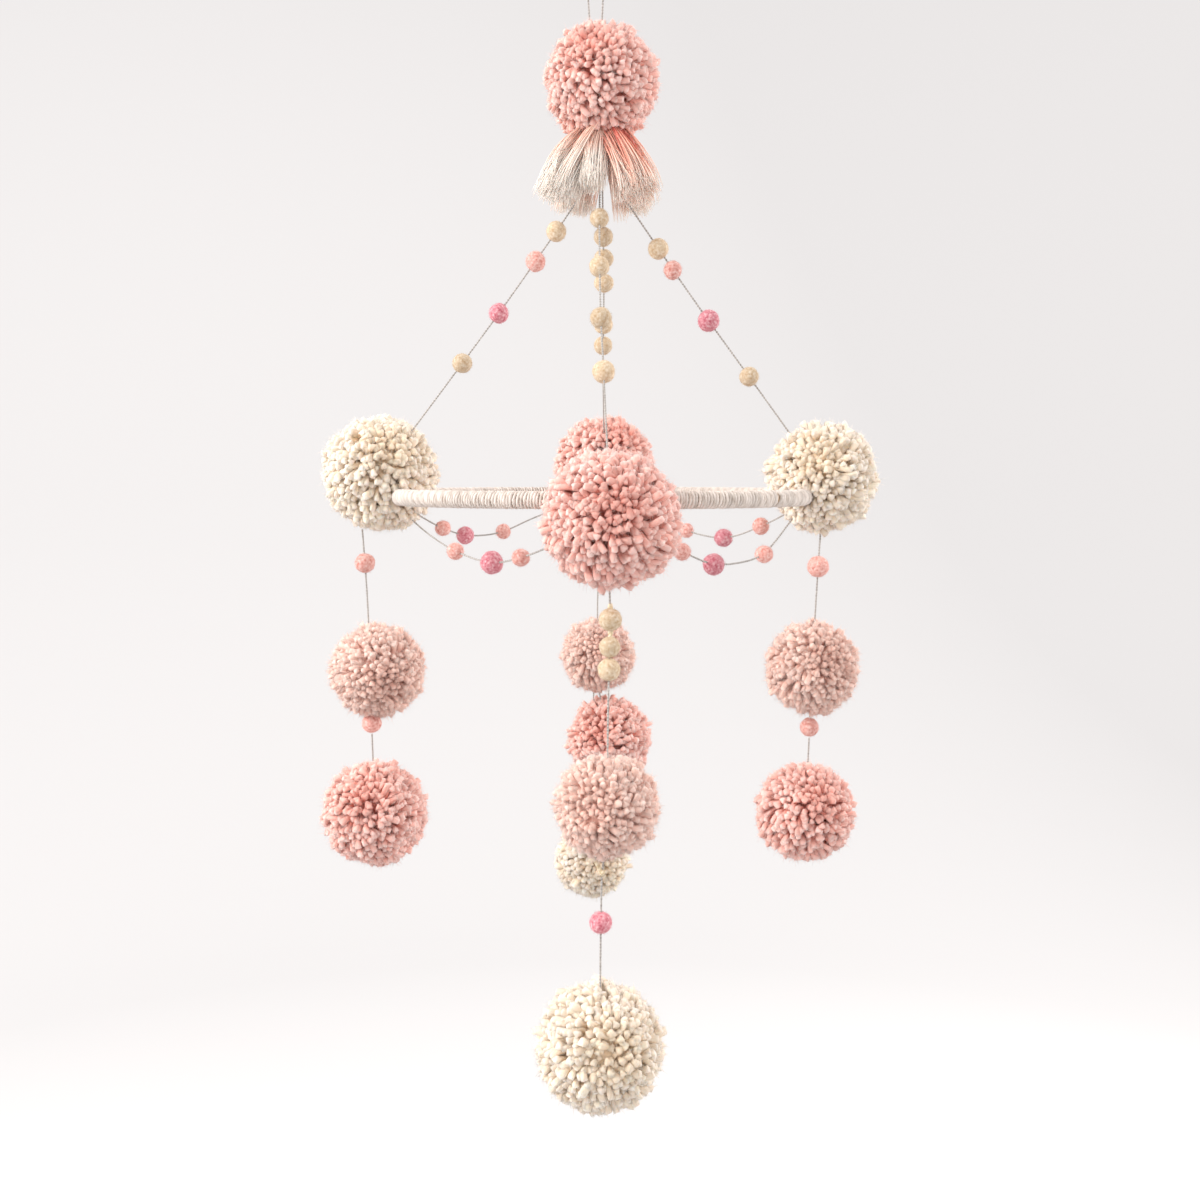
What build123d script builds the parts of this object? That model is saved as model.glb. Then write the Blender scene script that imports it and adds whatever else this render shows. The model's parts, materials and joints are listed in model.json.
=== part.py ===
"""Pom-pom crib mobile: a yarn-wrapped ring hung by four beaded cords under a crown pom-pom with
tassels, with beaded swags and strands of pom-poms below. Millimetres, +Z up. The origin is where
the hanging loop bears on its hook."""

import math
import os

from build123d import *

# ---- driving dimensions ----
FOOT_DOWN = 310.0  # from the hook down to the hub's foot, which places are given from
HUB_X = 3.8  # the hub hangs this far to the right of the hook
RING_UP = 1.8  # the ring's centre, over the hub's foot
RING_OUTER_D = 254.0  # a ten-inch hoop, over its yarn wrap
WRAP_D = 9.8  # wrapped tube
HOOP_D = 6.6  # bare hoop inside the wrap
CORD_D = 1.2
MAIN_CORD_D = 2.4  # the four suspension cords gathered into one
GAP = 0.4  # between pieces that move against each other

RING_R = (RING_OUTER_D - WRAP_D) / 2  # to the middle of the tube
WRAP_CLEAR = 0.15  # a pom-pom's pile stands this far off the wrap

CROWN_R, CROWN_UP = 34.3, 245.5
GATHER_R, GATHER_UP = 5.0, 198.2

# ---- pom-poms: centre (x, y, up) from the hub's foot, and radius ----
RING_POMS = {
    "left": ((-134.8, 0.0, 15.4), 34.6),
    "right": ((133.7, 0.0, 13.0), 33.4),
    "front": ((4.9, -133.0, -8.0), 35.6),
    "back": ((2.3, 133.0, 20.4), 35.3),
}
STRAND_POMS = {
    "left_upper": ((-137.9, 0.0, -104.8), 28.3),
    "left_lower": ((-141.2, 0.0, -194.6), 32.4),
    "right_upper": ((129.4, 0.0, -103.5), 28.3),
    "right_lower": ((126.4, 0.0, -194.0), 30.5),
    "front_upper": ((2.4, -133.0, -156.4), 27.0),
    "front_lower": ((-1.2, -133.0, -285.8), 33.8),
    "back_upper": ((-2.6, 133.0, -113.6), 26.1),
    "back_middle": ((5.3, 133.0, -174.7), 29.9),
    "back_lower": ((-7.0, 133.0, -263.2), 26.9),
}

# ---- cords: the points of each route, as (x, y, up) from the hub's foot ----
SUSPENSION_ROUTES = {
    "left": [(-3.2, 0.0, 193.9), (-46.0, 0.0, 132.8), (-89.6, 0.0, 74.5), (-130.4, 0.0, 21.4)],
    "right": [(3.2, 0.0, 193.8), (46.2, 0.0, 130.9), (88.6, 0.0, 74.2), (129.0, 0.0, 19.0)],
    "front": [(-1.2, -3.0, 193.7), (-2.0, -42.8, 128.2), (1.2, -85.2, 62.8), (3.4, -121.5, 9.2)],
    "back": [(0.0, 3.3, 193.9), (1.6, 44.4, 135.4), (0.4, 86.6, 79.6), (2.0, 127.6, 27.6)],
}
SWAG_ROUTES = {
    "front_left": [
        (-113.5, -8.5, -13.3),
        (-101.6, -20.4, -21.6),
        (-85.4, -36.6, -30.0),
        (-62.8, -59.2, -35.8),
        (-43.9, -78.1, -30.6),
        (-29.3, -92.7, -24.2),
        (-17.1, -104.9, -17.5),
    ],
    "back_left": [
        (-111.0, 11.0, -11.4),
        (-100.4, 21.6, -18.3),
        (-86.0, 36.0, -24.4),
        (-66.0, 56.0, -23.4),
        (-46.0, 76.0, -13.6),
        (-26.0, 96.0, -7.0),
        (-13.0, 109.0, -4.4),
    ],
    "front_right": [
        (112.6, -9.4, -14.2),
        (104.4, -17.6, -23.6),
        (93.2, -28.8, -34.6),
        (64.4, -57.6, -37.2),
        (44.6, -77.4, -27.6),
        (32.8, -89.2, -21.6),
        (26.4, -95.6, -18.0),
    ],
    "back_right": [
        (111.4, 10.6, -10.4),
        (99.4, 22.6, -17.4),
        (79.6, 42.4, -26.8),
        (56.6, 65.4, -22.6),
        (38.8, 83.2, -13.8),
        (24.0, 98.0, -8.4),
        (17.4, 104.6, -6.4),
    ],
}
STRAND_ROUTES = {
    "left_upper": [
        (-146.2, 0.0, -18.1),
        (-144.6, 0.0, -42.0),
        (-143.3, 0.0, -72.0),
        (-142.5, 0.0, -104.0),
        (-142.3, 0.0, -139.5),
    ],
    "left_lower": [
        (-142.3, 0.0, -144.8),
        (-141.9, 0.0, -160.0),
        (-141.6, 0.0, -177.0),
        (-141.5, 0.0, -194.0),
    ],
    "right_upper": [
        (133.2, 0.0, -21.2),
        (132.1, 0.0, -42.0),
        (130.7, 0.0, -72.0),
        (129.4, 0.0, -104.0),
        (128.2, 0.0, -142.0),
    ],
    "right_lower": [
        (128.2, 0.0, -147.2),
        (127.7, 0.0, -163.0),
        (127.1, 0.0, -179.0),
        (126.4, 0.0, -195.0),
    ],
    "front_upper": [
        (3.7, -133.0, -44.4),
        (4.2, -133.0, -58.0),
        (3.8, -133.0, -74.0),
        (3.1, -133.0, -96.0),
        (2.7, -133.0, -126.0),
        (2.6, -133.0, -156.0),
        (2.2, -133.0, -179.0),
        (-0.2, -133.0, -191.0),
    ],
    "front_lower": [
        (-0.3, -133.0, -194.4),
        (-0.8, -133.0, -218.0),
        (-1.1, -133.0, -250.0),
        (-1.0, -133.0, -281.0),
    ],
    "back_upper": [
        (1.2, 133.0, -15.8),
        (-1.6, 133.0, -42.0),
        (-3.2, 133.0, -74.0),
        (-3.0, 133.0, -110.0),
    ],
    "back_middle": [
        (-1.6, 133.0, -140.6),
        (0.4, 133.0, -152.0),
        (1.4, 133.0, -162.0),
        (1.8, 133.0, -174.0),
    ],
    "back_lower": [
        (0.0, 133.0, -205.2),
        (-3.2, 133.0, -222.0),
        (-5.8, 133.0, -240.0),
        (-7.0, 133.0, -257.0),
    ],
}
LOOP_ROUTE = [  # in the part's own frame, up one side of the hanging loop and down the other
    (-3.4, 0.0, -29.5),
    (-4.4, 0.0, -17.3),
    (-4.7, 0.0, CORD_D / 2),
    (4.7, 0.0, CORD_D / 2),
    (4.4, 0.0, -17.3),
    (3.8, 0.0, -29.5),
]
MAIN_ROUTE = [(0.0, 0.0, 262.0), (0.0, 0.0, GATHER_UP + GATHER_R + GAP)]

# ---- felt balls: share of the cord's length from its start, and radius ----
SUSPENSION_BEADS = {
    "cream": {
        "left": [(0.196, 6.0), (0.645, 6.0)],
        "right": [(0.250, 6.2), (0.684, 6.0)],
        "front": [(0.162, 5.6), (0.325, 5.8), (0.493, 6.2), (0.662, 6.2)],
        "back": [(0.193, 6.0), (0.264, 6.0), (0.344, 6.0), (0.488, 6.0), (0.563, 6.0)],
    },
    "pink": {"left": [(0.296, 6.0)], "right": [(0.321, 5.6)]},
    "rose": {"left": [(0.472, 6.0)], "right": [(0.492, 6.6)]},
}
SWAG_BEADS = {  # two pink balls with a deep rose one between them
    "front_left": {"pink": [(0.300, 5.0), (0.708, 5.0)], "rose": [(0.533, 6.6)]},
    "back_left": {"pink": [(0.123, 4.9), (0.477, 4.9)], "rose": [(0.252, 5.6)]},
    "front_right": {"pink": [(0.226, 5.4), (0.795, 5.0)], "rose": [(0.580, 6.3)]},
    "back_right": {"pink": [(0.130, 5.3), (0.590, 4.9)], "rose": [(0.358, 6.0)]},
}
STRAND_BEADS = {
    "left_upper": {"pink": [(0.171, 6.1), (0.987, 6.0)]},
    "right_upper": {"pink": [(0.164, 6.7), (0.987, 5.9)]},
    "front_upper": {"cream": [(0.100, 6.1), (0.196, 5.4), (0.276, 6.1)]},
    "front_lower": {"rose": [(0.280, 6.0)]},
}

# ---- tassels: azimuth from the front, reach and height of the lower end, and its radius ----
TASSELS = {
    "front_left": (-55.0, 30.0, 179.0, 11.0),
    "front_middle": (-12.0, 19.5, 185.0, 6.0),
    "front_right": (40.0, 27.5, 179.0, 12.5),
    "back_right": (138.0, 29.0, 177.0, 9.0),
    "back_left": (219.0, 29.0, 177.0, 8.4),
}
TASSEL_TOP_REACH, TASSEL_TOP_UP, TASSEL_TOP_R = 9.0, 217.0, 3.2

# ---- the yarn tie under the upper pom-pom of the front strand ----
TIE_START, TIE_KNOT = (-7.3, -133.0, -178.0), (-0.3, -133.0, -191.8)
TIE_D, TIE_KNOT_R = 2.2, 1.8

RADIUS_SHARE = 0.45  # of the shorter run, taken up by each bend of a cord


def at(x, y, up):
    """A point given from the hub's foot, in the part's own frame."""
    return Vector(HUB_X + x, y, up - FOOT_DOWN)


def bend_radii(points):
    """The largest bend that each corner of a route has room for."""
    radii = []
    for before, corner, after in zip(points, points[1:], points[2:]):
        run_in, run_out = corner - before, after - corner
        shorter = min(run_in.length, run_out.length)
        half_turn = math.radians(run_in.get_angle(run_out)) / 2
        radii.append(RADIUS_SHARE * shorter / math.tan(half_turn))
    return radii


def cord(name, points, diameter=CORD_D):
    """A cord along a route: its middle line and its solid tube."""
    radii = bend_radii(points)
    line = FilletPolyline(*points, radius=radii) if radii else Line(*points)
    start = Plane(origin=line @ 0, z_dir=line % 0)
    tube = sweep(start * Circle(diameter / 2), path=line)
    expected = math.pi * diameter**2 / 4 * line.length
    smallest = f"{min(radii):.1f}" if radii else "straight"
    print(
        f"{name}: length {line.length:.1f}, smallest radius {smallest},"
        f" radii {[round(r) for r in radii]}, volume {tube.volume / expected:.4f} of expected"
    )
    return line, tube


def ball(place, radius):
    return Pos(*place) * Sphere(radius)


def beads(line, tube, placed):
    """Felt balls threaded on a cord."""
    return [ball(line @ share, radius) - tube for share, radius in placed]


def tassel(azimuth, reach, bottom_up, bottom_r):
    """One bundle of threads, narrow under the crown pom-pom and flared at its lower end."""
    turn = math.radians(azimuth)
    out = Vector(math.sin(turn), -math.cos(turn), 0)
    top = at(0, 0, TASSEL_TOP_UP) + out * TASSEL_TOP_REACH
    bottom = at(0, 0, bottom_up) + out * reach
    middle = Plane(origin=(top + bottom) * 0.5, z_dir=bottom - top)
    cone = Cone(TASSEL_TOP_R, bottom_r, (bottom - top).length)
    return middle * cone


parts = {}


def add_crown():
    """The hanging loop, and what hangs straight from it."""
    loop_points = [Vector(*p) for p in LOOP_ROUTE]
    parts["hanging_loop"] = cord("hanging_loop", loop_points)[1]
    main_points = [at(*p) for p in MAIN_ROUTE]
    main_cord = cord("main_cord", main_points, MAIN_CORD_D)[1]
    parts["main_cord"] = main_cord
    crown = ball(at(0, 0, CROWN_UP), CROWN_R)
    parts["crown_pom"] = crown - main_cord
    parts["gather_knot"] = ball(at(0, 0, GATHER_UP), GATHER_R)
    for name, shape in TASSELS.items():
        parts[f"tassel_{name}"] = tassel(*shape) - crown


def add_ring():
    """The hoop, its wrap, the pom-poms on it and the cords that carry it."""
    centre = Pos(*at(0, 0, RING_UP))
    hoop = centre * Torus(RING_R, HOOP_D / 2)
    parts["ring_hoop"] = hoop
    parts["ring_wrap"] = centre * Torus(RING_R, WRAP_D / 2) - hoop
    channel = centre * Torus(RING_R, WRAP_D / 2 + WRAP_CLEAR)
    lines = {}
    for side, route in SUSPENSION_ROUTES.items():
        name = f"suspension_cord_{side}"
        line, tube = cord(name, [at(*p) for p in route])
        parts[name] = tube
        lines[side] = line, tube
        place, radius = RING_POMS[side]
        parts[f"ring_pom_{side}"] = ball(at(*place), radius) - channel - tube
    for colour, sides in SUSPENSION_BEADS.items():
        balls = []
        for side, placed in sides.items():
            balls += beads(*lines[side], placed)
        parts[f"suspension_beads_{colour}"] = Compound(children=balls)


def add_swags():
    """The beaded cords that sag from pom-pom to pom-pom under the ring."""
    for name, route in SWAG_ROUTES.items():
        line, tube = cord(f"swag_cord_{name}", [at(*p) for p in route])
        parts[f"swag_cord_{name}"] = tube
        for colour, placed in SWAG_BEADS[name].items():
            balls = beads(line, tube, placed)
            parts[f"swag_beads_{colour}_{name}"] = Compound(children=balls)


def add_strands():
    """The strands that hang from the ring's pom-poms, one section at a time."""
    for name, route in STRAND_ROUTES.items():
        line, tube = cord(f"cord_{name}", [at(*p) for p in route])
        parts[f"cord_{name}"] = tube
        place, radius = STRAND_POMS[name]
        pom = ball(at(*place), radius)
        parts[f"pom_{name}"] = pom - tube
        for colour, placed in STRAND_BEADS.get(name, {}).items():
            balls = [b - pom for b in beads(line, tube, placed)]
            parts[f"beads_{colour}_{name}"] = Compound(children=balls)
    arm = cord("front_tie", [at(*TIE_START), at(*TIE_KNOT)], TIE_D)[1]
    knot = ball(at(*TIE_KNOT), TIE_KNOT_R)
    tie = arm + knot - parts["pom_front_upper"] - parts["cord_front_upper"]
    parts["front_tie"] = max(tie.solids(), key=lambda solid: solid.volume)


add_crown()
add_ring()
add_swags()
add_strands()

os.makedirs("parts", exist_ok=True)
for node, shape in parts.items():
    export_step(shape, f"parts/{node}.step")
print(f"{len(parts)} nodes")
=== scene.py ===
"""Looks of the pom-pom crib mobile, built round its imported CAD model. Metres, in the CAD's own frame."""

import json
import math

import bmesh
import bpy
import numpy as np
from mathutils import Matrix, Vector, noise


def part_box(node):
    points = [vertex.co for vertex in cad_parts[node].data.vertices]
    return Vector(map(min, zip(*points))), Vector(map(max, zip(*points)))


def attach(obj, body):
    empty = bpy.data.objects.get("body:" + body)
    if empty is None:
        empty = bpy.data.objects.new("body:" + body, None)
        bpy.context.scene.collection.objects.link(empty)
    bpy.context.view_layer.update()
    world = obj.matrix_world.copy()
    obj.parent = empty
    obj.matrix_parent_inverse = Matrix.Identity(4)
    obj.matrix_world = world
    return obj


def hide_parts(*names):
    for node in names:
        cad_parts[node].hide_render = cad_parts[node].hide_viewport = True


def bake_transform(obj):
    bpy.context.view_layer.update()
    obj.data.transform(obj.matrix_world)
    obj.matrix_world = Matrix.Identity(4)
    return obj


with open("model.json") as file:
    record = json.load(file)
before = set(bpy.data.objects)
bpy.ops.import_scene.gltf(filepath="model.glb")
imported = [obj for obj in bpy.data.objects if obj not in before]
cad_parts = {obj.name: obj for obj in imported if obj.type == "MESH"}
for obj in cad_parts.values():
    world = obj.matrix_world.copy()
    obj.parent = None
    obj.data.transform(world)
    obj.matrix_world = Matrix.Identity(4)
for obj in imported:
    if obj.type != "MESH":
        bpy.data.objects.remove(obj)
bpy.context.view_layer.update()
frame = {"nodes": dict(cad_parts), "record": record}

MM = 0.001
nodes, record = frame["nodes"], frame["record"]
slot_of = {part["node"]: part["material_slot"] for part in record["subparts"]}
body_of = {node: body for body, members in record["behaviour"]["bodies"].items() for node in members}

# ---- the ring, and the hub's foot, which all routes are measured from ----
ring_low, ring_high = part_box("ring_wrap")
RING = (ring_low + ring_high) / 2
FOOT = RING - Vector((0.0, 0.0, 1.8 * MM))
WRAP_R = (ring_high - ring_low).z / 2
RING_R = (ring_high - ring_low).x / 2 - WRAP_R


def at(x, y, up):
    """A point given from the hub's foot, in the CAD's frame."""
    return FOOT + Vector((x, y, up))


# ---- camera ----
def add_camera():
    """A camera a little above the ring's plane, looking slightly down at the whole mobile."""
    data = bpy.data.cameras.new("camera")
    data.sensor_width = 36.0
    data.lens = 39.78
    camera = bpy.data.objects.new("camera", data)
    camera.location = at(-0.0012, -0.809, 0.015)
    camera.rotation_euler = (math.radians(84.6), 0.0, 0.0)
    bpy.context.scene.collection.objects.link(camera)
    bpy.context.scene.camera = camera


add_camera()

# ---- cords: the points of each route from the hub's foot, as in the CAD ----
CORD_D = 1.2 * MM
MAIN_CORD_D = 2.4 * MM
ROUTES = {
    "suspension_cord_left": [
        (-0.0032, 0.0, 0.1939), (-0.0460, 0.0, 0.1328), (-0.0896, 0.0, 0.0745), (-0.1304, 0.0, 0.0214),
    ],
    "suspension_cord_right": [
        (0.0032, 0.0, 0.1938), (0.0462, 0.0, 0.1309), (0.0886, 0.0, 0.0742), (0.1290, 0.0, 0.0190),
    ],
    "suspension_cord_front": [
        (-0.0012, -0.0030, 0.1937), (-0.0020, -0.0428, 0.1282), (0.0012, -0.0852, 0.0628), (0.0034, -0.1215, 0.0092),
    ],
    "suspension_cord_back": [
        (0.0, 0.0033, 0.1939), (0.0016, 0.0444, 0.1354), (0.0004, 0.0866, 0.0796), (0.0020, 0.1276, 0.0276),
    ],
    "swag_cord_front_left": [
        (-0.1190, -0.0045, -0.0080),
        (-0.1135, -0.0085, -0.0133),
        (-0.1016, -0.0204, -0.0216),
        (-0.0854, -0.0366, -0.0300),
        (-0.0628, -0.0592, -0.0358),
        (-0.0439, -0.0781, -0.0306),
        (-0.0293, -0.0927, -0.0242),
        (-0.0171, -0.1049, -0.0175),
        (-0.0116, -0.1100, -0.0140),
    ],
    "swag_cord_back_left": [
        (-0.1165, 0.0060, -0.0070),
        (-0.1110, 0.0110, -0.0114),
        (-0.1004, 0.0216, -0.0183),
        (-0.0860, 0.0360, -0.0244),
        (-0.0660, 0.0560, -0.0234),
        (-0.0460, 0.0760, -0.0136),
        (-0.0260, 0.0960, -0.0070),
        (-0.0130, 0.1090, -0.0044),
        (-0.0045, 0.1172, -0.0034),
    ],
    "swag_cord_front_right": [
        (0.1180, -0.0050, -0.0080),
        (0.1126, -0.0094, -0.0142),
        (0.1044, -0.0176, -0.0236),
        (0.0932, -0.0288, -0.0346),
        (0.0644, -0.0576, -0.0372),
        (0.0446, -0.0774, -0.0276),
        (0.0328, -0.0892, -0.0216),
        (0.0264, -0.0956, -0.0180),
        (0.0212, -0.1008, -0.0152),
        (0.0150, -0.1075, -0.0125),
    ],
    "swag_cord_back_right": [
        (0.1172, 0.0055, -0.0060),
        (0.1114, 0.0106, -0.0104),
        (0.0994, 0.0226, -0.0174),
        (0.0796, 0.0424, -0.0268),
        (0.0566, 0.0654, -0.0226),
        (0.0388, 0.0832, -0.0138),
        (0.0240, 0.0980, -0.0084),
        (0.0174, 0.1046, -0.0064),
        (0.0115, 0.1105, -0.0048),
        (0.0070, 0.1162, -0.0036),
    ],
    "cord_left_upper": [
        (-0.1462, 0.0, -0.0181), (-0.1446, 0.0, -0.0420), (-0.1433, 0.0, -0.0720), (-0.1425, 0.0, -0.1040),
        (-0.1423, 0.0, -0.1395),
    ],
    "cord_left_lower": [
        (-0.1423, 0.0, -0.1448), (-0.1419, 0.0, -0.1600), (-0.1416, 0.0, -0.1770), (-0.1415, 0.0, -0.1940),
    ],
    "cord_right_upper": [
        (0.1332, 0.0, -0.0212), (0.1321, 0.0, -0.0420), (0.1307, 0.0, -0.0720), (0.1294, 0.0, -0.1040),
        (0.1282, 0.0, -0.1420),
    ],
    "cord_right_lower": [
        (0.1282, 0.0, -0.1472), (0.1277, 0.0, -0.1630), (0.1271, 0.0, -0.1790), (0.1264, 0.0, -0.1950),
    ],
    "cord_front_upper": [
        (0.0037, -0.133, -0.0444),
        (0.0042, -0.133, -0.0580),
        (0.0038, -0.133, -0.0740),
        (0.0031, -0.133, -0.0960),
        (0.0027, -0.133, -0.1260),
        (0.0026, -0.133, -0.1560),
        (0.0022, -0.133, -0.1790),
        (-0.0002, -0.133, -0.1910),
    ],
    "cord_front_lower": [
        (-0.0003, -0.133, -0.1944), (-0.0008, -0.133, -0.2180), (-0.0011, -0.133, -0.2500), (-0.0010, -0.133, -0.2810),
    ],
    "cord_back_upper": [
        (0.0012, 0.133, -0.0158), (-0.0016, 0.133, -0.0420), (-0.0032, 0.133, -0.0740), (-0.0030, 0.133, -0.1100),
    ],
    "cord_back_middle": [
        (-0.0016, 0.133, -0.1406), (0.0004, 0.133, -0.1520), (0.0014, 0.133, -0.1620), (0.0018, 0.133, -0.1740),
    ],
    "cord_back_lower": [
        (0.0, 0.133, -0.2052), (-0.0032, 0.133, -0.2220), (-0.0058, 0.133, -0.2400), (-0.0070, 0.133, -0.2570),
    ],
}
LOOP_ROUTE = [  # in the CAD's own frame, up one side of the hanging loop and down the other
    (-0.0034, 0.0, -0.0295), (-0.0044, 0.0, -0.0173), (-0.0047, 0.0, 0.0006),
    (0.0047, 0.0, 0.0006), (0.0044, 0.0, -0.0173), (0.0038, 0.0, -0.0295),
]
MAIN_ROUTE = [(0.0, 0.0, 0.2620), (0.0, 0.0, 0.2036)]


# ---- tools for making many fine tubes, hairs and balls as one mesh ----
def seeded(name):
    """Random numbers that are the same in each run for the piece of that name."""
    return np.random.default_rng([ord(letter) for letter in name])


def unit(vectors):
    """The vectors at length 1."""
    return vectors / np.linalg.norm(vectors, axis=-1, keepdims=True).clip(1e-12)


def crossways(directions):
    """Two directions at right angles to each direction and to each other."""
    upright = np.abs(directions[..., 2:]) > 0.8
    helper = np.where(upright, [1.0, 0.0, 0.0], [0.0, 0.0, 1.0])
    across = unit(np.cross(directions, helper))
    return across, np.cross(directions, across)


def frames(paths):
    """The direction along each of many paths, and two across it that turn as little as they can."""
    along = unit(np.gradient(paths, axis=1))
    across = np.empty_like(paths)
    across[:, 0] = crossways(along[:, 0])[0]
    for k in range(1, paths.shape[1]):
        before, here = across[:, k - 1], along[:, k]
        across[:, k] = unit(before - (before * here).sum(-1, keepdims=True) * here)
    return along, across, np.cross(along, across)


def ico_ball(subdivisions):
    """The vertices and faces of a unit icosphere."""
    shape = bmesh.new()
    bmesh.ops.create_icosphere(shape, subdivisions=subdivisions, radius=1.0)
    shape.verts.ensure_lookup_table()
    places = np.array([v.co for v in shape.verts])
    tris = np.array([[v.index for v in f.verts] for f in shape.faces])
    shape.free()
    return places, tris


BALL, BALL_TRIS = ico_ball(3)
NO_QUADS = np.zeros((0, 4), int)


class Piece:
    """The tubes, hairs and balls of one piece, gathered before its mesh is made.
    Each vertex carries two values for its material: along, from a strand's root to its tip, which in places carries
    painted shade, and tint."""

    def __init__(self):
        self.places, self.quads, self.tris, self.along, self.tint = [], [], [], [], []
        self.size = 0

    def add(self, places, quads, tris, along, tint):
        self.places.append(places)
        self.quads.append(quads + self.size)
        self.tris.append(tris + self.size)
        self.along.append(along)
        self.tint.append(tint)
        self.size += len(places)

    def tubes(self, paths, widths, sides, along, tint, twist=0.0, lobes=0, depth=0.0, tip=0.3):
        """Closed tubes round many paths: paths is tubes x rings x 3, and widths, along, tint, twist and
        depth are tubes x rings. Lobes make the section a rope's, as deep as depth, a share of the width."""
        count, rings = paths.shape[:2]
        forward, across, side = frames(paths)
        angle = 2 * math.pi * np.arange(sides) / sides
        turned = angle + np.broadcast_to(twist, (count, rings))[..., None]
        reach = np.broadcast_to(widths, (count, rings))
        ridge = 1 + np.broadcast_to(depth, (count, rings))[..., None] * np.cos(lobes * angle)
        outward = np.cos(turned)[..., None] * across[:, :, None] + np.sin(turned)[..., None] * side[:, :, None]
        skin = (paths[:, :, None] + (reach[..., None] * ridge)[..., None] * outward).reshape(count, -1, 3)
        start = paths[:, 0] - forward[:, 0] * reach[:, :1] * tip
        end = paths[:, -1] + forward[:, -1] * reach[:, -1:] * tip
        places = np.concatenate([skin, start[:, None], end[:, None]], 1)
        ring = np.arange(sides)
        after = (ring + 1) % sides
        row = np.arange(rings - 1)[:, None] * sides
        quads = np.stack([row + ring, row + after, row + sides + after, row + sides + ring], -1).reshape(-1, 4)
        last, first_end, last_end = (rings - 1) * sides, rings * sides, rings * sides + 1
        first_cap = np.stack([after, ring, np.full(sides, first_end)], -1)
        last_cap = np.stack([last + ring, last + after, np.full(sides, last_end)], -1)
        tris = np.concatenate([first_cap, last_cap])
        step = (np.arange(count) * (rings * sides + 2))[:, None, None]
        values = [self.spread(np.broadcast_to(v, (count, rings)), sides) for v in (along, tint)]
        self.add(places.reshape(-1, 3), (quads + step).reshape(-1, 4), (tris + step).reshape(-1, 3), *values)

    @staticmethod
    def spread(values, sides):
        """One value for each ring of each tube, given to all its vertices."""
        return np.concatenate([np.repeat(values, sides, axis=1), values[:, :1], values[:, -1:]], 1).ravel()

    def hairs(self, roots, directions, lengths, width, along, tint):
        """Fine fibres, each a sliver with a three-sided foot."""
        count = len(roots)
        across, side = crossways(directions)
        corners = [math.cos(a) * across + math.sin(a) * side for a in (0.0, 2.094, 4.189)]
        foot = [roots + corner * width for corner in corners]
        places = np.stack([*foot, roots + directions * lengths[:, None]], 1).reshape(-1, 3)
        tris = np.array([[0, 1, 3], [1, 2, 3], [2, 0, 3], [0, 2, 1]])
        tris = (tris + 4 * np.arange(count)[:, None, None]).reshape(-1, 3)
        values = [np.repeat(np.broadcast_to(v, count), 4) for v in (along, tint)]
        self.add(places, NO_QUADS, tris, *values)

    def ball(self, centre, radius, lump, lump_size, along, tint, stretch=(1.0, 1.0, 1.0)):
        """A ball with soft lumps of that depth and size, both as shares of its radius."""
        shift = Vector(centre) * 700.0
        swell = [1 + lump * noise.noise(Vector(p) / lump_size + shift) for p in BALL]
        places = BALL * np.array(stretch) * radius * np.array(swell)[:, None] + np.array(centre)
        self.add(places, NO_QUADS, BALL_TRIS, np.full(len(BALL), along), np.full(len(BALL), tint))

    def build(self, name, material):
        """The piece's object, with smooth faces."""
        places, quads, tris = (np.concatenate(x) for x in (self.places, self.quads, self.tris))
        corners = np.concatenate([quads.ravel(), tris.ravel()])
        starts = np.concatenate([np.arange(len(quads)) * 4, len(quads) * 4 + np.arange(len(tris)) * 3])
        mesh = bpy.data.meshes.new(name)
        mesh.vertices.add(len(places))
        mesh.vertices.foreach_set("co", places.astype(np.float32).ravel())
        mesh.loops.add(len(corners))
        mesh.loops.foreach_set("vertex_index", corners.astype(np.int32))
        mesh.polygons.add(len(starts))
        mesh.polygons.foreach_set("loop_start", starts.astype(np.int32))
        mesh.polygons.foreach_set("use_smooth", np.ones(len(starts), bool))
        for key, value in (("along", self.along), ("tint", self.tint)):
            layer = mesh.attributes.new(key, "FLOAT", "POINT")
            layer.data.foreach_set("value", np.concatenate(value).astype(np.float32))
        mesh.update(calc_edges=True)
        mesh.materials.append(material)
        made = bpy.data.objects.new(name, mesh)
        bpy.context.scene.collection.objects.link(made)
        return made


def stand_for(piece, *cad_nodes):
    """The piece takes the place of these CAD nodes, which are hidden."""
    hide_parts(*cad_nodes)
    return piece


# ---- materials ----
def tone(red, green, blue):
    """A colour as it shows on a screen, each part from 0 to 255, turned into what a shader takes."""
    return tuple(((c / 255 + 0.055) / 1.055) ** 2.4 for c in (red, green, blue)) + (1.0,)


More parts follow.
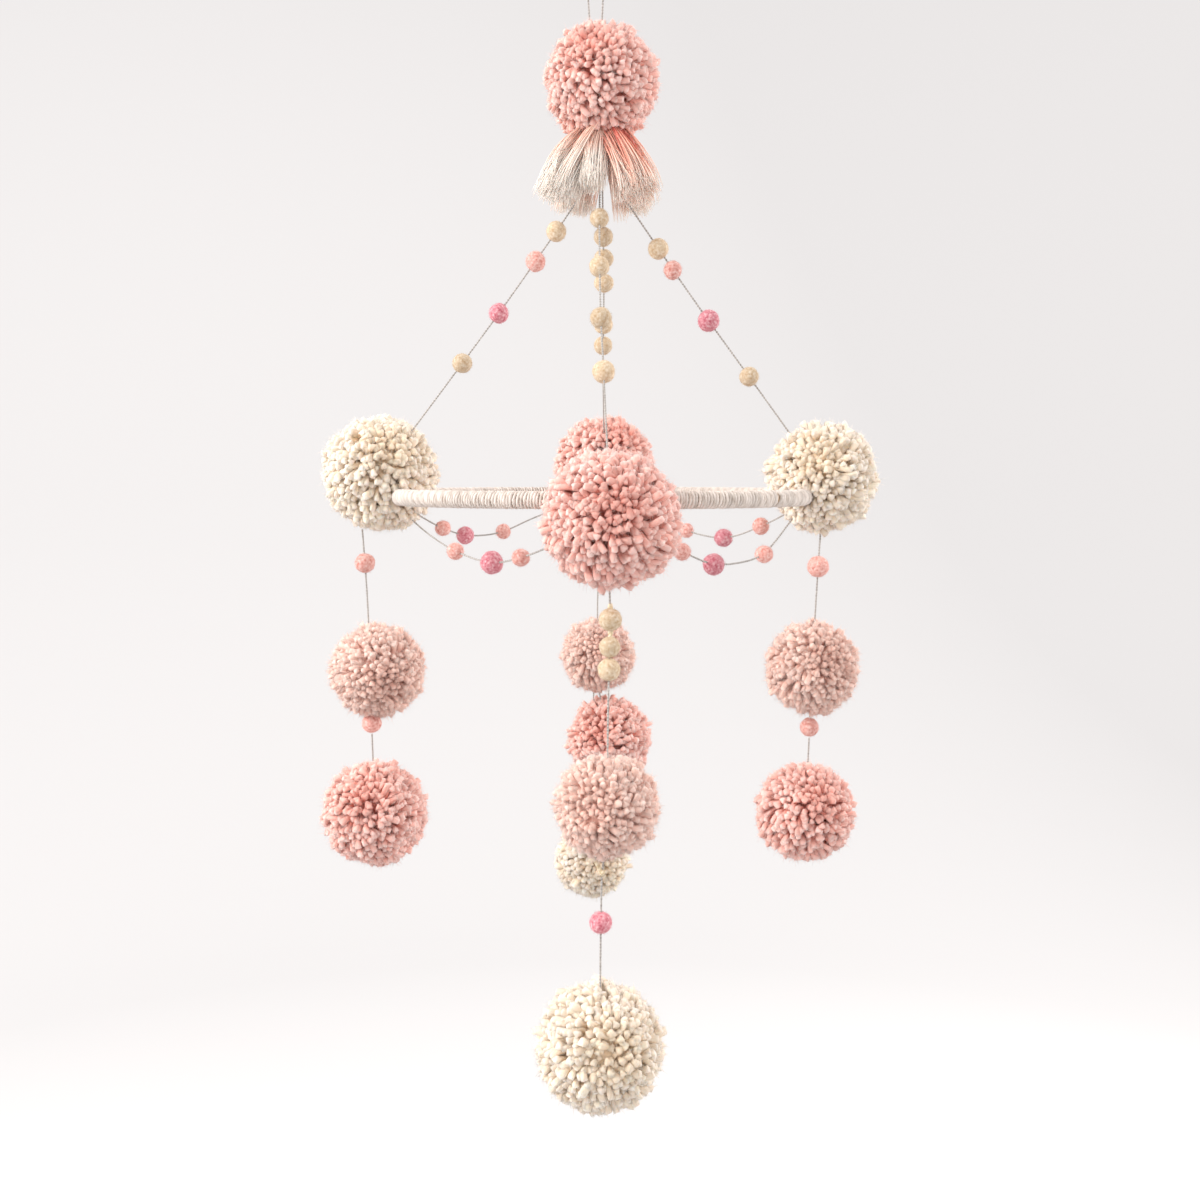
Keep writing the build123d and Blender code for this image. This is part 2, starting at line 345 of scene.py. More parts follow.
def fibre_material(
    name, tones, mottle, roughness, sheen, bump_size, bump_depth,
    patch_size=4 * MM, tint_range=0.16, softness=0.0, soft_reach=0.8 * MM,
):
    """Yarn, thread or felt: tones from a strand's root to its tip, fine fibres in relief, and mottling."""
    made = bpy.data.materials.new(name)
    made.use_nodes = True
    tree = made.node_tree
    new, link = tree.nodes.new, tree.links.new
    surface = tree.nodes["Principled BSDF"]
    surface.inputs["Roughness"].default_value = roughness
    surface.inputs["Specular IOR Level"].default_value = 0.2
    surface.inputs["Sheen Weight"].default_value = sheen
    surface.inputs["Sheen Roughness"].default_value = 0.5
    surface.inputs["Sheen Tint"].default_value = tones[-1][1]
    surface.inputs["Subsurface Weight"].default_value = softness
    surface.inputs["Subsurface Radius"].default_value = (1.0, 0.85, 0.8)
    surface.inputs["Subsurface Scale"].default_value = soft_reach

    place = new("ShaderNodeTexCoord")
    along = new("ShaderNodeAttribute")
    along.attribute_name = "along"
    tint = new("ShaderNodeAttribute")
    tint.attribute_name = "tint"

    patches = new("ShaderNodeTexNoise")
    patches.inputs["Scale"].default_value = 1 / patch_size
    patches.inputs["Detail"].default_value = 3.0
    link(place.outputs["Object"], patches.inputs["Vector"])
    drift = new("ShaderNodeMapRange")
    drift.inputs["From Min"].default_value = 0.3
    drift.inputs["From Max"].default_value = 0.7
    drift.inputs["To Min"].default_value = -mottle
    drift.inputs["To Max"].default_value = mottle
    link(patches.outputs["Fac"], drift.inputs["Value"])
    mixed = new("ShaderNodeMath")
    mixed.operation = "ADD"
    mixed.use_clamp = True
    link(along.outputs["Fac"], mixed.inputs[0])
    link(drift.outputs["Result"], mixed.inputs[1])
    ramp = new("ShaderNodeValToRGB")
    ramp.color_ramp.interpolation = "EASE"
    stops = ramp.color_ramp.elements
    while len(stops) < len(tones):
        stops.new(0.5)
    for stop, (place_on, colour) in zip(stops, tones):
        stop.position = place_on
        stop.color = colour
    link(mixed.outputs["Value"], ramp.inputs["Fac"])
    level = new("ShaderNodeMapRange")
    level.inputs["To Min"].default_value = 1 - tint_range
    level.inputs["To Max"].default_value = 1 + tint_range / 2
    link(tint.outputs["Fac"], level.inputs["Value"])
    varied = new("ShaderNodeHueSaturation")
    link(level.outputs["Result"], varied.inputs["Value"])
    link(ramp.outputs["Color"], varied.inputs["Color"])
    link(varied.outputs["Color"], surface.inputs["Base Color"])

    fibres = new("ShaderNodeTexNoise")
    fibres.inputs["Scale"].default_value = 1 / bump_size
    fibres.inputs["Detail"].default_value = 4.0
    fibres.inputs["Roughness"].default_value = 0.65
    link(place.outputs["Object"], fibres.inputs["Vector"])
    relief = new("ShaderNodeBump")
    relief.inputs["Strength"].default_value = 0.7
    relief.inputs["Distance"].default_value = bump_depth
    link(fibres.outputs["Fac"], relief.inputs["Height"])
    link(relief.outputs["Normal"], surface.inputs["Normal"])
    return made


def wood_material():
    """Pale bentwood, with a fine noisy grain."""
    made = bpy.data.materials.new("hoop_bentwood")
    made.use_nodes = True
    tree = made.node_tree
    surface = tree.nodes["Principled BSDF"]
    surface.inputs["Roughness"].default_value = 0.62
    place = tree.nodes.new("ShaderNodeTexCoord")
    grain = tree.nodes.new("ShaderNodeTexNoise")
    grain.inputs["Scale"].default_value = 900.0
    grain.inputs["Detail"].default_value = 6.0
    ramp = tree.nodes.new("ShaderNodeValToRGB")
    ramp.color_ramp.elements[0].color = tone(150, 112, 72)
    ramp.color_ramp.elements[1].color = tone(214, 178, 130)
    relief = tree.nodes.new("ShaderNodeBump")
    relief.inputs["Distance"].default_value = 0.1 * MM
    tree.links.new(place.outputs["Object"], grain.inputs["Vector"])
    tree.links.new(grain.outputs["Fac"], ramp.inputs["Fac"])
    tree.links.new(ramp.outputs["Color"], surface.inputs["Base Color"])
    tree.links.new(grain.outputs["Fac"], relief.inputs["Height"])
    tree.links.new(relief.outputs["Normal"], surface.inputs["Normal"])
    return made


def pile(name, deep, shade, light, ends, softness=0.4):
    """Pom-pom yarn with painted shade: darker and deeper in colour towards the middle of the pom-pom, where the strands
    shade each other.
    """
    tones = [(0.0, tone(*deep)), (0.5, tone(*shade)), (0.8, tone(*light)), (1.0, tone(*ends))]
    return fibre_material(name, tones, 0.06, 0.9, 0.4, 0.5 * MM, 0.3 * MM, softness=softness)


def felt(name, dark, middle, light):
    """Felted wool, mottled between three tones."""
    tones = [(0.15, tone(*dark)), (0.5, tone(*middle)), (0.85, tone(*light))]
    return fibre_material(name, tones, 0.34, 0.95, 0.5, 0.35 * MM, 0.3 * MM, patch_size=1.5 * MM)


MATERIALS = {
    # The pile tones run from painted shade, for the middle of a pom-pom, out to the yarn's ends.
    "yarn_pink": pile("pink_pile", (214, 118, 102), (232, 154, 138), (244, 188, 175), (250, 213, 204)),
    "yarn_blush": pile("blush_pile", (224, 164, 147), (233, 184, 168), (243, 203, 188), (249, 219, 207)),
    "yarn_cream": pile("cream_pile", (232, 199, 160), (239, 214, 183), (246, 228, 205), (252, 239, 226), softness=0.5),
    "felt_cream": felt("cream_felt", (198, 166, 130), (215, 192, 162), (234, 218, 196)),
    "felt_pink": felt("pink_felt", (208, 134, 122), (234, 176, 165), (248, 213, 205)),
    "felt_rose": felt("rose_felt", (192, 98, 112), (218, 142, 151), (240, 194, 198)),
    "tassel_thread": fibre_material(
        "silky_thread",
        [(0.0, tone(228, 112, 98)), (0.3, tone(248, 176, 154)), (0.6, tone(254, 214, 196)), (1.0, tone(255, 244, 234))],
        0.04, 0.5, 0.5, 0.4 * MM, 0.1 * MM, tint_range=0.1, softness=0.4, soft_reach=0.2 * MM,
    ),
    "cord_cotton": fibre_material(
        "twisted_cotton", [(0.0, tone(142, 137, 132)), (1.0, tone(208, 202, 196))],
        0.2, 0.85, 0.2, 0.25 * MM, 0.12 * MM, patch_size=2.0 * MM,
    ),
    "tie_yarn": fibre_material(
        "tie_yarn_wool", [(0.0, tone(214, 190, 150)), (1.0, tone(250, 238, 212))],
        0.15, 0.9, 0.4, 0.4 * MM, 0.2 * MM,
    ),
    "wrap_yarn": fibre_material(
        "wound_yarn", [(0.0, tone(186, 168, 152)), (1.0, tone(238, 227, 218))],
        0.2, 0.85, 0.35, 0.4 * MM, 0.2 * MM,
    ),
    "hoop_wood": wood_material(),
}
nodes["ring_hoop"].data.materials.clear()
nodes["ring_hoop"].data.materials.append(MATERIALS["hoop_wood"])


# ---- cords and yarns ----
def smooth_line(points, step):
    """The NURBS line that a route's points shape, read evenly at about that step."""
    data = bpy.data.curves.new("route", "CURVE")
    data.dimensions = "3D"
    data.resolution_u = 64
    spline = data.splines.new("NURBS")
    spline.points.add(len(points) - 1)
    for slot, place in zip(spline.points, points):
        slot.co = (*place, 1.0)
    spline.order_u = 3
    spline.use_endpoint_u = True
    holder = bpy.data.objects.new("route", data)
    bpy.context.scene.collection.objects.link(holder)
    mesh = bpy.data.meshes.new_from_object(holder)
    read = np.array([v.co for v in mesh.vertices])
    bpy.data.objects.remove(holder)
    bpy.data.curves.remove(data)
    bpy.data.meshes.remove(mesh)
    reached = np.concatenate([[0.0], np.cumsum(np.linalg.norm(np.diff(read, axis=0), axis=1))])
    wanted = np.linspace(0, reached[-1], max(3, round(reached[-1] / step)))
    return np.stack([np.interp(wanted, reached, read[:, k]) for k in range(3)], 1), reached[-1]


def twist_up(piece, line, diameter, plies, pitch, rng, sides=6):
    """Plies of yarn twisted round each other along a line."""
    reached = np.concatenate([[0.0], np.cumsum(np.linalg.norm(np.diff(line, axis=0), axis=1))])
    _, across, side = (x[0] for x in frames(line[None]))
    spots = np.arange(0, reached[-1] + 6 * MM, 6 * MM)
    wander = np.interp(reached, spots, rng.uniform(-0.4, 0.4, len(spots)))
    ply_r, off = diameter * 0.29, diameter * 0.21
    paths = []
    for ply in range(plies):
        angle = 2 * math.pi * (ply / plies + reached / pitch) + wander
        paths.append(line + off * (np.cos(angle)[:, None] * across + np.sin(angle)[:, None] * side))
    paths = np.stack(paths)
    widths = ply_r * (1 + 0.08 * rng.standard_normal(paths.shape[:2]))
    # Painted shade: the plies darker and lighter in bands across the cord, twice in each turn of the twist.
    shade = 0.55 + 0.3 * np.sin(2 * math.pi * reached / pitch * 2)[None] + 0 * widths
    piece.tubes(paths, widths, sides, shade, rng.uniform(0.2, 0.8, (plies, 1)))
    count = int(reached[-1] / (0.9 * MM))
    pick = rng.integers(0, len(line), count)
    out = unit(rng.standard_normal((count, 3)))
    piece.hairs(line[pick] + out * diameter * 0.4, out, rng.uniform(0.6, 1.6, count) * MM, 0.05 * MM, 0.9, 0.9)


def lay_cord(node, points, diameter=CORD_D):
    """A twisted cord along its route, standing for its CAD tube."""
    rng = seeded(node)
    line, length = smooth_line(points, 0.45 * MM)
    piece = Piece()
    twist_up(piece, line, diameter, 2 if diameter < 2 * MM else 4, diameter * 2.9, rng)
    made = piece.build("twisted_" + node, MATERIALS["cord_cotton"])
    stand_for(made, node)
    return made


def lay_cords():
    """All the cords, each moving with its own body, but for the hanging loop, which stays fixed in place."""
    for node, route in ROUTES.items():
        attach(lay_cord(node, [at(*p) for p in route]), body_of[node])
    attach(lay_cord("main_cord", [at(*p) for p in MAIN_ROUTE], MAIN_CORD_D), body_of["main_cord"])
    loop = lay_cord("hanging_loop", [Vector(p) for p in LOOP_ROUTE])
    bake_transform(loop)


lay_cords()


def trefoil(centre, size, turn, rings=90):
    """The closed line of an overhand knot pulled to that size."""
    t = np.linspace(0, 2 * math.pi, rings)
    line = np.stack([np.sin(t) + 2 * np.sin(2 * t), np.cos(t) - 2 * np.cos(2 * t), -1.6 * np.sin(3 * t)], 1)
    c, s = math.cos(turn), math.sin(turn)
    tip = np.array([[1, 0, 0], [0, c, -s], [0, s, c]])
    return np.array(centre) + size / 3 * line @ tip.T


def tie_knots():
    """The gather knot under the crown, and the yarn tie of the front strand with its knot."""
    rng = seeded("gather_knot")
    low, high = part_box("gather_knot")
    centre, radius = (low + high) / 2, (high - low).z / 2
    piece = Piece()
    for turn in (0.4, 1.9):
        twist_up(piece, trefoil(centre, radius * 0.68, turn), 2.3 * MM, 3, 4.0 * MM, rng)
    made = piece.build("knotted_cords", MATERIALS["cord_cotton"])
    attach(stand_for(made, "gather_knot"), body_of["gather_knot"])

    rng = seeded("front_tie")
    low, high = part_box("front_tie")
    knot = Vector((high.x - 1.8 * MM, (low.y + high.y) / 2, low.z + 1.8 * MM))
    start = Vector((low.x + 0.9 * MM, knot.y, high.z))
    inside = start + (start - knot) * 0.5
    piece = Piece()
    line, _ = smooth_line([inside, start, knot], 0.4 * MM)
    twist_up(piece, line, 2.4 * MM, 3, 5.5 * MM, rng, sides=7)
    for turn in (0.3, 1.6):
        twist_up(piece, trefoil(knot, 1.3 * MM, turn, 60), 1.3 * MM, 2, 3.0 * MM, rng)
    made = piece.build("front_tie_yarn", MATERIALS["tie_yarn"])
    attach(stand_for(made, "front_tie"), body_of["front_tie"])


tie_knots()


def extra_yarns():
    """The thick cream yarn round the front strand among its felt balls, and the back strand's loose end."""
    rng = seeded("thick_yarn")
    piece = Piece()
    thick = [(0.0041, -0.0510), (0.0042, -0.0610), (0.0041, -0.0700), (0.0038, -0.0780)]
    line, _ = smooth_line([at(x, -0.133, up) for x, up in thick], 0.4 * MM)
    twist_up(piece, line, 2.9 * MM, 2, 6.5 * MM, rng, sides=8)
    made = piece.build("front_thick_yarn", MATERIALS["tie_yarn"])
    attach(made, "strand_front_upper")

    piece = Piece()
    tail = [(-0.0052, -0.1330), (-0.0060, -0.1410), (-0.0056, -0.1480), (-0.0040, -0.1560)]
    line, _ = smooth_line([at(x, 0.133, up) for x, up in tail], 0.4 * MM)
    twist_up(piece, line, 1.0 * MM, 2, 3.0 * MM, seeded("tail"))
    made = piece.build("back_loose_end", MATERIALS["cord_cotton"])
    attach(made, "strand_back_middle")


extra_yarns()


# ---- the yarn wound round the hoop ----
def wind_wrap():
    """One long yarn wound round the hoop, turn beside turn, with the small unevenness of handwork."""
    rng = seeded("ring_wrap")
    yarn_r, turns, steps = 0.95 * MM, 424, 14
    pitch = 1 + 0.12 * rng.standard_normal(turns).clip(-1.5, 1.5)
    pitch[round(turns * 0.891)] = 2.3
    reached = np.concatenate([[0.0], np.cumsum(pitch)])
    turn = np.arange(turns * steps) / steps
    azimuth = 2 * math.pi * np.interp(turn, np.arange(turns + 1), reached / reached[-1])
    winding = 2 * math.pi * turn
    loose = np.interp(turn, np.arange(turns + 1), rng.uniform(-0.12, 0.12, turns + 1)) * MM
    reach = WRAP_R - yarn_r + loose
    radial = np.stack([np.cos(azimuth), np.sin(azimuth), 0 * azimuth], 1)
    path = np.array(RING) + (RING_R + reach * np.cos(winding))[:, None] * radial
    path[:, 2] += reach * np.sin(winding)
    piece = Piece()
    tint = np.interp(turn, np.arange(turns + 1), rng.uniform(0, 1, turns + 1))
    # Painted shade: the yarn lighter and darker along each turn, in step with the twist of its two plies.
    ridge_shade = 0.72 + 0.2 * np.sin(winding * 3.3)
    piece.tubes(path[None], yarn_r * (1 + 0.06 * np.sin(winding * 6.6))[None], 7, ridge_shade[None], tint[None],
                twist=(winding * 1.65)[None], lobes=2, depth=0.1)
    count = 5200
    pick = rng.integers(0, len(path), count)
    tube = np.array(RING) + RING_R * radial[pick]
    out = unit(path[pick] - tube)
    lean = unit(out + 0.9 * rng.standard_normal((count, 3)))
    piece.hairs(path[pick] + out * yarn_r * 0.8, lean, rng.uniform(0.8, 2.2, count) * MM, 0.05 * MM, 1.0, 0.8)
    made = piece.build("wound_ring_yarn", MATERIALS["wrap_yarn"])
    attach(stand_for(made, "ring_wrap"), body_of["ring_wrap"])


wind_wrap()


# ---- pom-poms ----
YARNS = {  # spacing of yarn ends on the surface, their radius, fine fibres on each, and the core's size and its painted shade, a dark place in the tones for the shaded middle of the pom-pom
    "yarn_pink": (3.9 * MM, 1.75 * MM, 19, 0.72, 0.3),
    "yarn_blush": (3.4 * MM, 1.6 * MM, 28, 0.8, 0.5),
    "yarn_cream": (3.9 * MM, 1.9 * MM, 22, 0.8, 0.5),
}
STATIONS = np.array([0.0, 0.4, 0.7, 0.9, 0.98, 1.0])  # along a strand, from its root to its end
SWELL = np.array([0.5, 0.78, 0.94, 1.03, 0.95, 0.6])  # its width there
SHADE = np.array([0.0, 0.25, 0.55, 0.82, 0.93, 1.0])  # its place in the material's tones there: painted shade, darkest at the root in the middle of the pom-pom
PLY_DEPTH = np.array([0.1, 0.12, 0.15, 0.2, 0.28, 0.34])  # of the grooves between its plies
PLIES = 3


def even_directions(count, rng):
    """Directions spread evenly over a sphere, and then disturbed a little."""
    k = np.arange(count) + 0.5
    height = 1 - 2 * k / count
    turn = math.pi * (1 + 5**0.5) * k
    flat = np.sqrt(1 - height**2)
    even = np.stack([flat * np.cos(turn), flat * np.sin(turn), height], 1)
    return unit(even + rng.standard_normal((count, 3)) * 0.6 / math.sqrt(count))


def off_ring(places):
    """From the middle of the ring's tube to each place, by the shortest way."""
    place = places - np.array(RING)
    return place - unit(place * np.array([1.0, 1.0, 0.0])) * RING_R


def room_inside_ring(centre, radius, clearance):
    """How far a ball of that centre and radius may reach, of 1, before it comes that close to the ring."""
    share = np.ones(len(BALL))
    for step in np.linspace(1.0, 0.0, 26):
        near = np.linalg.norm(off_ring(centre + BALL * radius * step), axis=1) < clearance
        share[near] = step - 0.04
    return share


def bent_round_ring(paths, clearance):
    """The strands pushed aside where they would run into the wrapped ring, with their ends kept straight."""
    off = off_ring(paths)
    distance = np.linalg.norm(off, axis=-1, keepdims=True).clip(0.1 * MM)
    shift = off * (clearance / distance - 1).clip(0.0)
    shift[:, 4:] = shift[:, 3:4]
    return paths + shift


class Pile:
    """The yarn strands of one pom-pom: where each leaves the middle, ends, and how far it reaches."""

    def __init__(self, node, whorl, lean, fullness, rng):
        low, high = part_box(node)
        self.centre, self.radius = np.array((low + high) / 2), (high - low).x / 2
        spacing = YARNS[slot_of[node]][0]
        count = round(4 * math.pi * self.radius**2 / spacing**2)
        even = even_directions(count, rng)
        flow = np.array([noise.noise_vector(Vector(tip) * 2.6 + Vector(self.centre) * 70) for tip in even])
        self.tips = unit(even + 0.08 * flow)
        axis = np.array(Vector(whorl).normalized())
        toward = axis - (self.tips @ axis)[:, None] * self.tips
        swirl = np.cross(self.tips, axis)
        wild = rng.standard_normal((count, 3)) * 0.16
        self.roots = unit(self.tips + lean * toward + 0.2 * swirl + wild)
        lumps = np.array([noise.noise(Vector(tip) * 2.4 + Vector(self.centre) * 90) for tip in self.tips])
        self.parting = np.exp((self.tips @ axis - 1) / 0.12)
        self.reach = fullness + 0.07 * lumps - 0.07 * self.parting + rng.normal(0, 0.022, count).clip(-0.06, 0.05)

    def place(self, t):
        """Where the strands are at t of their length: strands, or strands x stations."""
        t = np.asarray(t)[..., None]
        roots, tips, reach = self.roots, self.tips, self.reach[:, None]
        if t.ndim == 3:
            roots, tips, reach = roots[:, None], tips[:, None], reach[:, None]
        direction = unit(roots * (1 - t**1.5) + tips * t**1.5)
        return self.centre + direction * self.radius * (0.5 + 0.5 * t) * reach


def grow_pom(node, whorl):
    """A pom-pom of cut yarn: hundreds of blunt strands that radiate from the tie at its middle and part
    round the direction whorl, each of plies twisted together, with fine fibres standing off its end."""
    rng = seeded(node)
    pile = Pile(node, whorl, 0.3, 0.95 if node == "crown_pom" else 0.965, rng)
    _, strand_r, fuzz, core, core_shade = YARNS[slot_of[node]]
    core_reach = np.full(len(BALL), core)
    count = len(pile.tips)
    paths = pile.place(np.broadcast_to(STATIONS, (count, len(STATIONS))))
    bend = rng.standard_normal((count, 1, 3)) * 0.9 * MM
    paths = paths + bend * STATIONS[:, None] ** 2
    if node in ON_RING:
        paths = bent_round_ring(paths, RING_CLEARANCE)
        room = room_inside_ring(pile.centre, pile.radius, RING_CLEARANCE)
        core_reach = np.minimum(core, room - 0.1).clip(0.15, 1)
    widths = strand_r * rng.uniform(0.85, 1.15, (count, 1)) * SWELL
    twist = rng.uniform(0, 6.28, (count, 1)) + STATIONS * rng.uniform(2.0, 4.0, (count, 1))
    # Painted shade: each strand is darker towards its root in the middle of the pom-pom, and more so near the parting,
    # where one sees deeper in.
    along = SHADE * (1 - 0.3 * pile.parting[:, None])
    tint = rng.uniform(0, 1, (count, 1))
    piece = Piece()
    # The core in painted shade: a place low in the tones, for the shaded middle of the pom-pom.
    piece.ball(pile.centre, pile.radius, 0.06, 0.5, core_shade, 0.3, stretch=core_reach[:, None])
    piece.tubes(paths, widths, 3 * PLIES, along, tint, twist=twist, lobes=PLIES, depth=PLY_DEPTH, tip=0.15)

    number = count * fuzz
    owner = np.arange(number) % count
    forward = unit(paths[:, -1] - paths[:, 2])[owner]
    across, side = crossways(forward)
    turn = rng.uniform(0, 2 * math.pi, number)[:, None]
    outward = np.cos(turn) * across + np.sin(turn) * side
    back = rng.uniform(0, 1, number)[:, None] ** 1.3
    place_on = paths[owner, -1] * (1 - back) + paths[owner, 2] * back
    roots = place_on + outward * widths[owner, 3][:, None] * rng.uniform(0.3, 0.95, (number, 1))
    lean_out = unit(forward + outward * 0.8 + 0.5 * rng.standard_normal((number, 3)))
    lengths = (1.4 + rng.gamma(1.5, 1.0, number).clip(0, 5.0)) * MM
    # Painted shade: each fibre takes its strand's end tone, darker the further back along the strand it stands.
    shade = along[owner, -1] * (1 - 0.12 * back[:, 0])
    piece.hairs(roots, lean_out, lengths, 0.12 * MM, shade, 0.5 + 0.5 * tint[owner, 0])
    made = piece.build("pile_" + node, MATERIALS[slot_of[node]])
    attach(stand_for(made, node), body_of[node])


WHORLS = {
    "crown_pom": (-0.25, -0.75, 0.45),
    "ring_pom_left": (0.3, -0.7, 0.5),
    "ring_pom_right": (-0.2, -0.8, 0.4),
    "ring_pom_front": (0.05, -0.9, 0.25),
    "ring_pom_back": (0.3, -0.6, 0.7),
    "pom_left_upper": (0.35, -0.9, -0.2),
    "pom_left_lower": (-0.1, -0.8, 0.55),
    "pom_right_upper": (0.3, -0.85, 0.3),
    "pom_right_lower": (0.15, -0.8, 0.5),
    "pom_front_upper": (-0.3, -0.9, 0.2),
    "pom_front_lower": (0.25, -0.9, 0.3),
    "pom_back_upper": (0.2, -0.9, 0.4),
    "pom_back_middle": (-0.35, -0.8, 0.35),
    "pom_back_lower": (0.3, -0.85, 0.1),
}
ON_RING = ("ring_pom_left", "ring_pom_right", "ring_pom_front", "ring_pom_back")
RING_CLEARANCE = 6.6 * MM  # from the middle of the ring's tube to the middle of a strand
for node, whorl in WHORLS.items():
    grow_pom(node, whorl)


# ---- felt balls ----
def balls_of(node):
    """The centre and radius of each ball in a CAD node."""
    shape = bmesh.new()
    shape.from_mesh(nodes[node].data)
    bmesh.ops.remove_doubles(shape, verts=shape.verts, dist=0.002 * MM)
    found, seen = [], set()
    for first in shape.verts:
        if first in seen:
            continue
        seen.add(first)
        island, front = [], [first]
        while front:
            vert = front.pop()
            island.append(vert.co.copy())
            for edge in vert.link_edges:
                other = edge.other_vert(vert)
                if other not in seen:
                    seen.add(other)
                    front.append(other)
        places = np.array(island)
        lowest, highest = places.min(0), places.max(0)
        radius = (highest[0] - lowest[0]) / 2
        if radius > 2 * MM:
            middle = (lowest + highest) / 2
            found.append((np.array([middle[0], middle[1], lowest[2] + radius]), radius))
    shape.free()
    return sorted(found, key=lambda item: tuple(item[0]))


def felt_balls(node):
    """Balls of felted wool, a little out of round, with loose fibres standing off them."""
    rng = seeded(node)
    piece = Piece()
    for centre, radius in balls_of(node):
        tint = rng.uniform(0.1, 0.9)
        piece.ball(centre, radius, 0.07, 0.55, 0.5, tint, stretch=rng.uniform(0.96, 1.03, 3))
        count = 420
        out = even_directions(count, rng)
        lean = unit(out + 0.8 * rng.standard_normal((count, 3)))
        roots = centre + out * radius * 0.97
        piece.hairs(roots, lean, rng.uniform(0.5, 1.7, count) * MM, 0.06 * MM, rng.uniform(0.3, 0.95, count), tint)
    made = piece.build("felted_" + node, MATERIALS[slot_of[node]])
    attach(stand_for(made, node), body_of[node])


for node in sorted(nodes):
    if "beads" in node:
        felt_balls(node)


# ---- tassels ----
def hang_tassel(node, threads, paleness_and_light, lift, inward):
    """A tassel of fine silky threads, in locks that part and cross towards their cut ends."""
    rng = seeded(node)
    low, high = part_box(node)
    hub = at(0.0, 0.0, 0.0)
    middle = (low + high) / 2
    out = Vector((middle.x - hub.x, middle.y - hub.y, 0.0)).normalized()
    corners = [Vector((x - hub.x, y - hub.y, 0.0)) for x in (low.x, high.x) for y in (low.y, high.y)]
    reach = max(corner.dot(out) for corner in corners)
    spread = min((high - low).x, (high - low).y) * 0.46
    lower = Vector((hub.x, hub.y, low.z)) + out * (reach - spread * inward)
    top = Vector((hub.x, hub.y, high.z + 5 * MM)) + out * 6 * MM
    side = Vector((-out.y, out.x, 0.0))
    locks = max(8, threads // 14)
    spot = np.sqrt(rng.uniform(0, 1, locks)) * spread
    turn = rng.uniform(0, 2 * math.pi, locks)
    flare = spot * np.cos(turn)
    swing = spot * np.sin(turn) * 1.1
    ends = np.array(lower) + flare[:, None] * np.array(out) + swing[:, None] * np.array(side)
    ends[:, 2] += (lift + rng.normal(0, 1.8, locks).clip(-4, 6)) * MM + 0.3 * flare
    starts = np.array(top) + rng.standard_normal((locks, 3)) * 2.6 * MM + swing[:, None] * 0.5 * np.array(side)
    bend = np.array(out) * rng.normal(2.5, 1.4, locks)[:, None] * MM + rng.standard_normal((locks, 3)) * 1.3 * MM
    lock = rng.integers(0, locks, threads)
    t = np.linspace(0, 1, 8)[None, :, None]
    base = starts[lock][:, None] * (1 - t) + ends[lock][:, None] * t + bend[lock][:, None] * 4 * t * (1 - t)
    spray = rng.standard_normal((threads, 3)) * np.array([1.0, 1.0, 0.5])
    fan = spray[:, None] * (0.7 + 1.3 * t) * MM
    wave = 0.35 * MM * np.sin(t * rng.uniform(5, 11, (threads, 1, 1)) + rng.uniform(0, 6, (threads, 1, 1)))
    paths = base + fan + wave * unit(rng.standard_normal((threads, 3)))[:, None]
    paths[:, -1, 2] -= rng.uniform(0, 1.6, threads) * MM
    # Partly painted light: paleness lifts a tassel's tones, partly for the threads' own paler colour and partly for the
    # light, more on the lit left than on the shaded right.
    pale = paleness_and_light + rng.normal(0, 0.08, locks)[lock][:, None] + rng.normal(0, 0.04, (threads, 1))
    along = (np.linspace(0, 1, 8)[None] * 0.85 + pale).clip(0, 1)
    widths = 0.27 * MM * rng.uniform(0.75, 1.2, (threads, 1)) * np.array([1, 1, 1, 1, 1, 0.9, 0.75, 0.4])
    piece = Piece()
    piece.tubes(paths, widths, 4, along, rng.uniform(0, 1, (threads, 1)))
    made = piece.build("threads_" + node, MATERIALS["tassel_thread"])
    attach(stand_for(made, node), body_of[node])


# Threads, paleness, lift and inward for each tassel. The paleness is partly the threads' own colour and partly painted
# light, higher on the left where the light falls and lower on the right in shade.
TASSELS = {
    "tassel_front_left": (900, 0.34, 4.0, 1.1),
    "tassel_front_middle": (620, 0.38, -1.0, 0.2),
    "tassel_front_right": (1100, 0.0, 3.5, 1.1),
    "tassel_back_right": (600, 0.1, 4.0, 1.1),
    "tassel_back_left": (600, 0.16, 4.0, 1.1),
}
for node, shape in TASSELS.items():
    hang_tassel(node, *shape)


# ---- studio: a pale floor that curves up all round, and soft light from the left ----
def plain_material(name, colour):
    """A matt studio surface of one plain colour."""
    made = bpy.data.materials.new(name)
    made.use_nodes = True
    surface = made.node_tree.nodes["Principled BSDF"]
    surface.inputs["Base Color"].default_value = colour
    surface.inputs["Roughness"].default_value = 1.0
    surface.inputs["Specular IOR Level"].default_value = 0.0
    return made


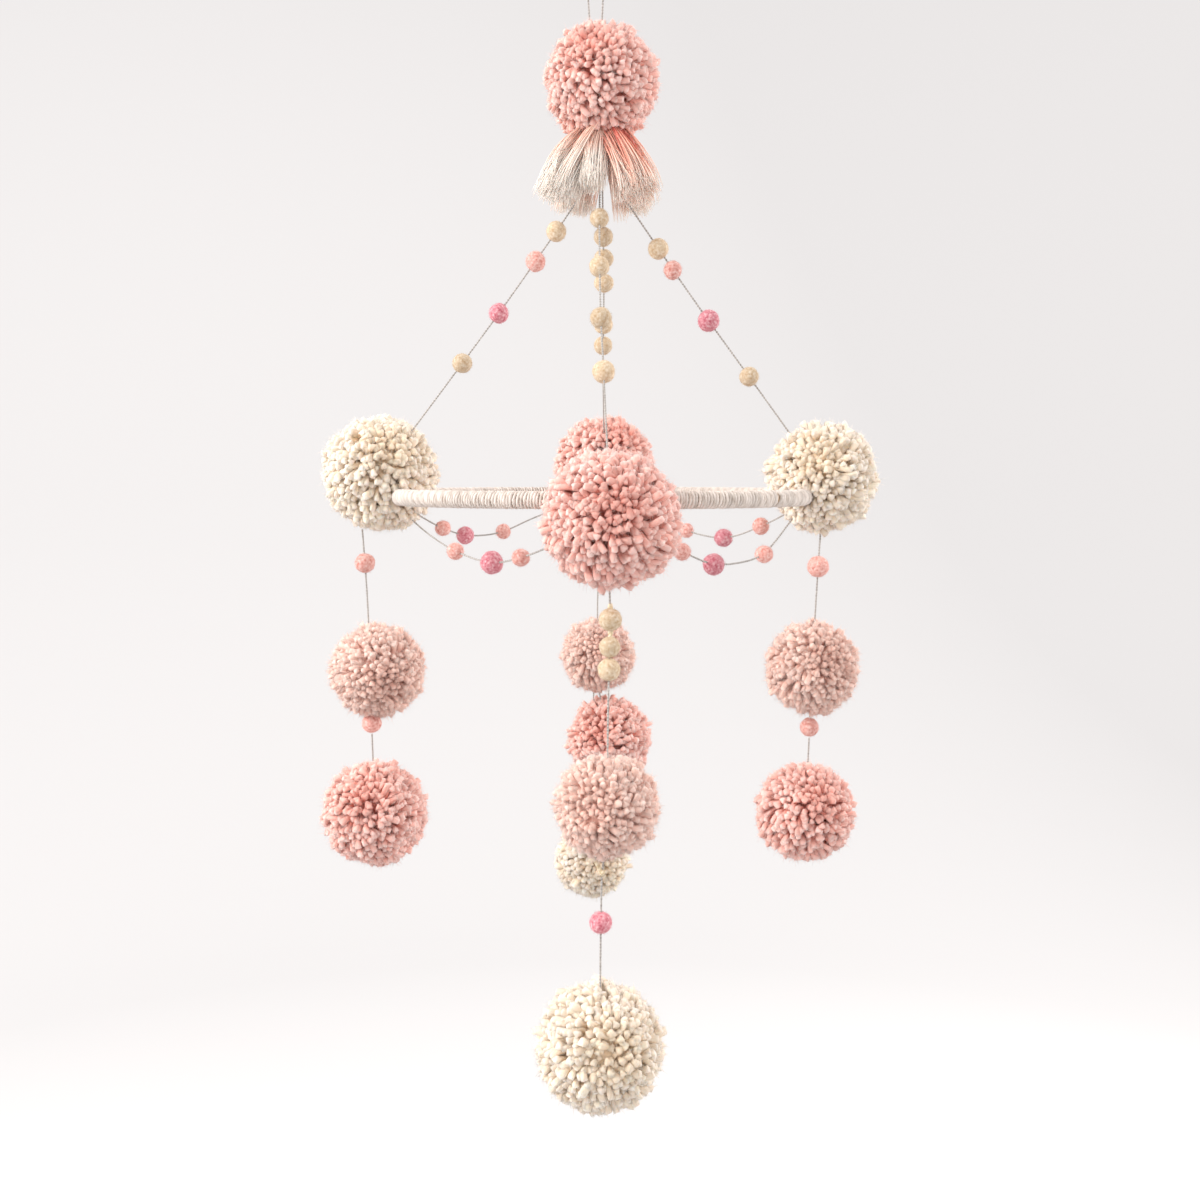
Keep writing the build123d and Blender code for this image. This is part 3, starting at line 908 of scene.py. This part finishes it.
def add_studio():
    """The floor and its backdrop, one round sheet seen by the camera but letting the soft light through."""
    floor_down, floor_r, bend_r, wall_up = 1.35, 2.0, 1.0, 2.4
    profile = [(0.0, -floor_down), (0.5 * floor_r, -floor_down), (floor_r, -floor_down)]
    for k in range(1, 13):
        turn = math.pi / 2 * k / 12
        profile.append((floor_r + bend_r * math.sin(turn), -floor_down + bend_r * (1 - math.cos(turn))))
    profile.append((floor_r + bend_r, wall_up))
    steps = 96
    places, faces = [], []
    for radius, up in profile:
        for k in range(steps):
            turn = 2 * math.pi * k / steps
            places.append((radius * math.cos(turn), radius * math.sin(turn), up))
    for row in range(len(profile) - 1):
        for k in range(steps):
            after = (k + 1) % steps
            faces.append((row * steps + k, row * steps + after, (row + 1) * steps + after, (row + 1) * steps + k))
    mesh = bpy.data.meshes.new("studio_floor")
    mesh.from_pydata(places, [], faces)
    for face in mesh.polygons:
        face.use_smooth = True
    mesh.materials.append(plain_material("studio_paper", (0.80, 0.785, 0.775, 1.0)))
    floor = bpy.data.objects.new("studio_floor", mesh)
    floor.visible_shadow = False
    floor.visible_diffuse = False
    floor.visible_glossy = False
    bpy.context.scene.collection.objects.link(floor)


def add_light(name, place, size, watts, colour):
    """A soft square light that faces the mobile and isn't seen itself."""
    data = bpy.data.lights.new(name, "AREA")
    data.size = size
    data.energy = watts
    data.color = colour
    light = bpy.data.objects.new(name, data)
    light.location = place
    light.rotation_euler = (at(0, 0, 0) - Vector(place)).to_track_quat("-Z", "Y").to_euler()
    light.visible_camera = False
    bpy.context.scene.collection.objects.link(light)


add_studio()
add_light("key", (-1.75, -0.65, 0.6), 1.3, 50.0, (1.0, 0.985, 0.97))
add_light("rim", (1.6, 0.8, 0.4), 1.4, 30.0, (1.0, 0.985, 0.97))
add_light("fill", (1.4, -1.5, 0.0), 1.8, 7.0, (1.0, 0.97, 0.94))
world = bpy.data.worlds.new("studio")
world.use_nodes = True
world.node_tree.nodes["Background"].inputs["Color"].default_value = (0.84, 0.83, 0.84, 1.0)
world.node_tree.nodes["Background"].inputs["Strength"].default_value = 1.0
bpy.context.scene.world = world
bpy.context.scene.view_settings.view_transform = "Standard"
